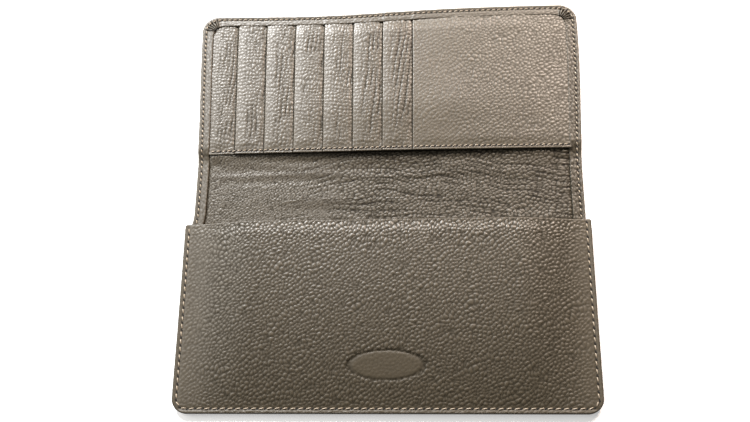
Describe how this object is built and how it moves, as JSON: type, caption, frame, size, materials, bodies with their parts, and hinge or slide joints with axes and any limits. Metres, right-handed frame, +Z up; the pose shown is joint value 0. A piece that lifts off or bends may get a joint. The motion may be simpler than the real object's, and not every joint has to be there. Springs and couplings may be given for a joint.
{
  "type": "long wallet",
  "caption": "Long two-fold leather wallet lying open, with stepped card slots and a note pocket on one half and a full-width pocket on the other.",
  "frame": {"origin": "centre of the open wallet's footprint, on the surface it lies on", "axes": "+Z up out of the wallet's inside, +Y from the pocket half to the card half, +X to the right across the wallet"},
  "size_m": [0.192, 0.203, 0.01],
  "materials": {
    "cover_leather": "pebbled, semi-matte",
    "lining_leather": "pebbled, semi-matte",
    "card_leather": "pebbled, semi-matte",
    "backing_cloth": "plain weave",
    "stiffener_board": "bonded fibre board",
    "thread": "waxed thread"
  },
  "bodies": {
    "lower_half": {"outer_shell_lower": "cover_leather", "stiffener_lower": "stiffener_board", "lining_lower": "lining_leather", "front_pocket_panel": "cover_leather", "front_pocket_lining": "backing_cloth", "stitching_pocket": "thread", "stitching_border_lower": "thread"},
    "spine": {"outer_shell_spine": "cover_leather", "spine_reinforcement": "stiffener_board", "lining_spine": "lining_leather", "stitching_spine": "thread"},
    "upper_half": {"outer_shell_upper": "cover_leather", "stiffener_upper": "stiffener_board", "lining_upper": "lining_leather", "card_backing": "card_leather", "card_pocket_1": "card_leather", "card_pocket_2": "card_leather", "card_pocket_3": "card_leather", "card_pocket_4": "card_leather", "card_pocket_5": "card_leather", "card_pocket_6": "card_leather", "card_pocket_7": "card_leather", "stitching_card_panel": "thread", "stitching_border_upper": "thread"}
  },
  "joints": [
    {"name": "fold_lower", "type": "hinge", "parent": "lower_half", "child": "spine", "pos_m": [0, -0.0075, 0.0022], "axis": [1, 0, 0], "range_deg": [0, 90]},
    {"name": "fold_upper", "type": "hinge", "parent": "spine", "child": "upper_half", "pos_m": [0, 0.0075, 0.0022], "axis": [1, 0, 0], "range_deg": [0, 90]}
  ],
  "couplings": [
    {"joint": "fold_upper", "follows": "fold_lower", "ratio": 1}
  ]
}
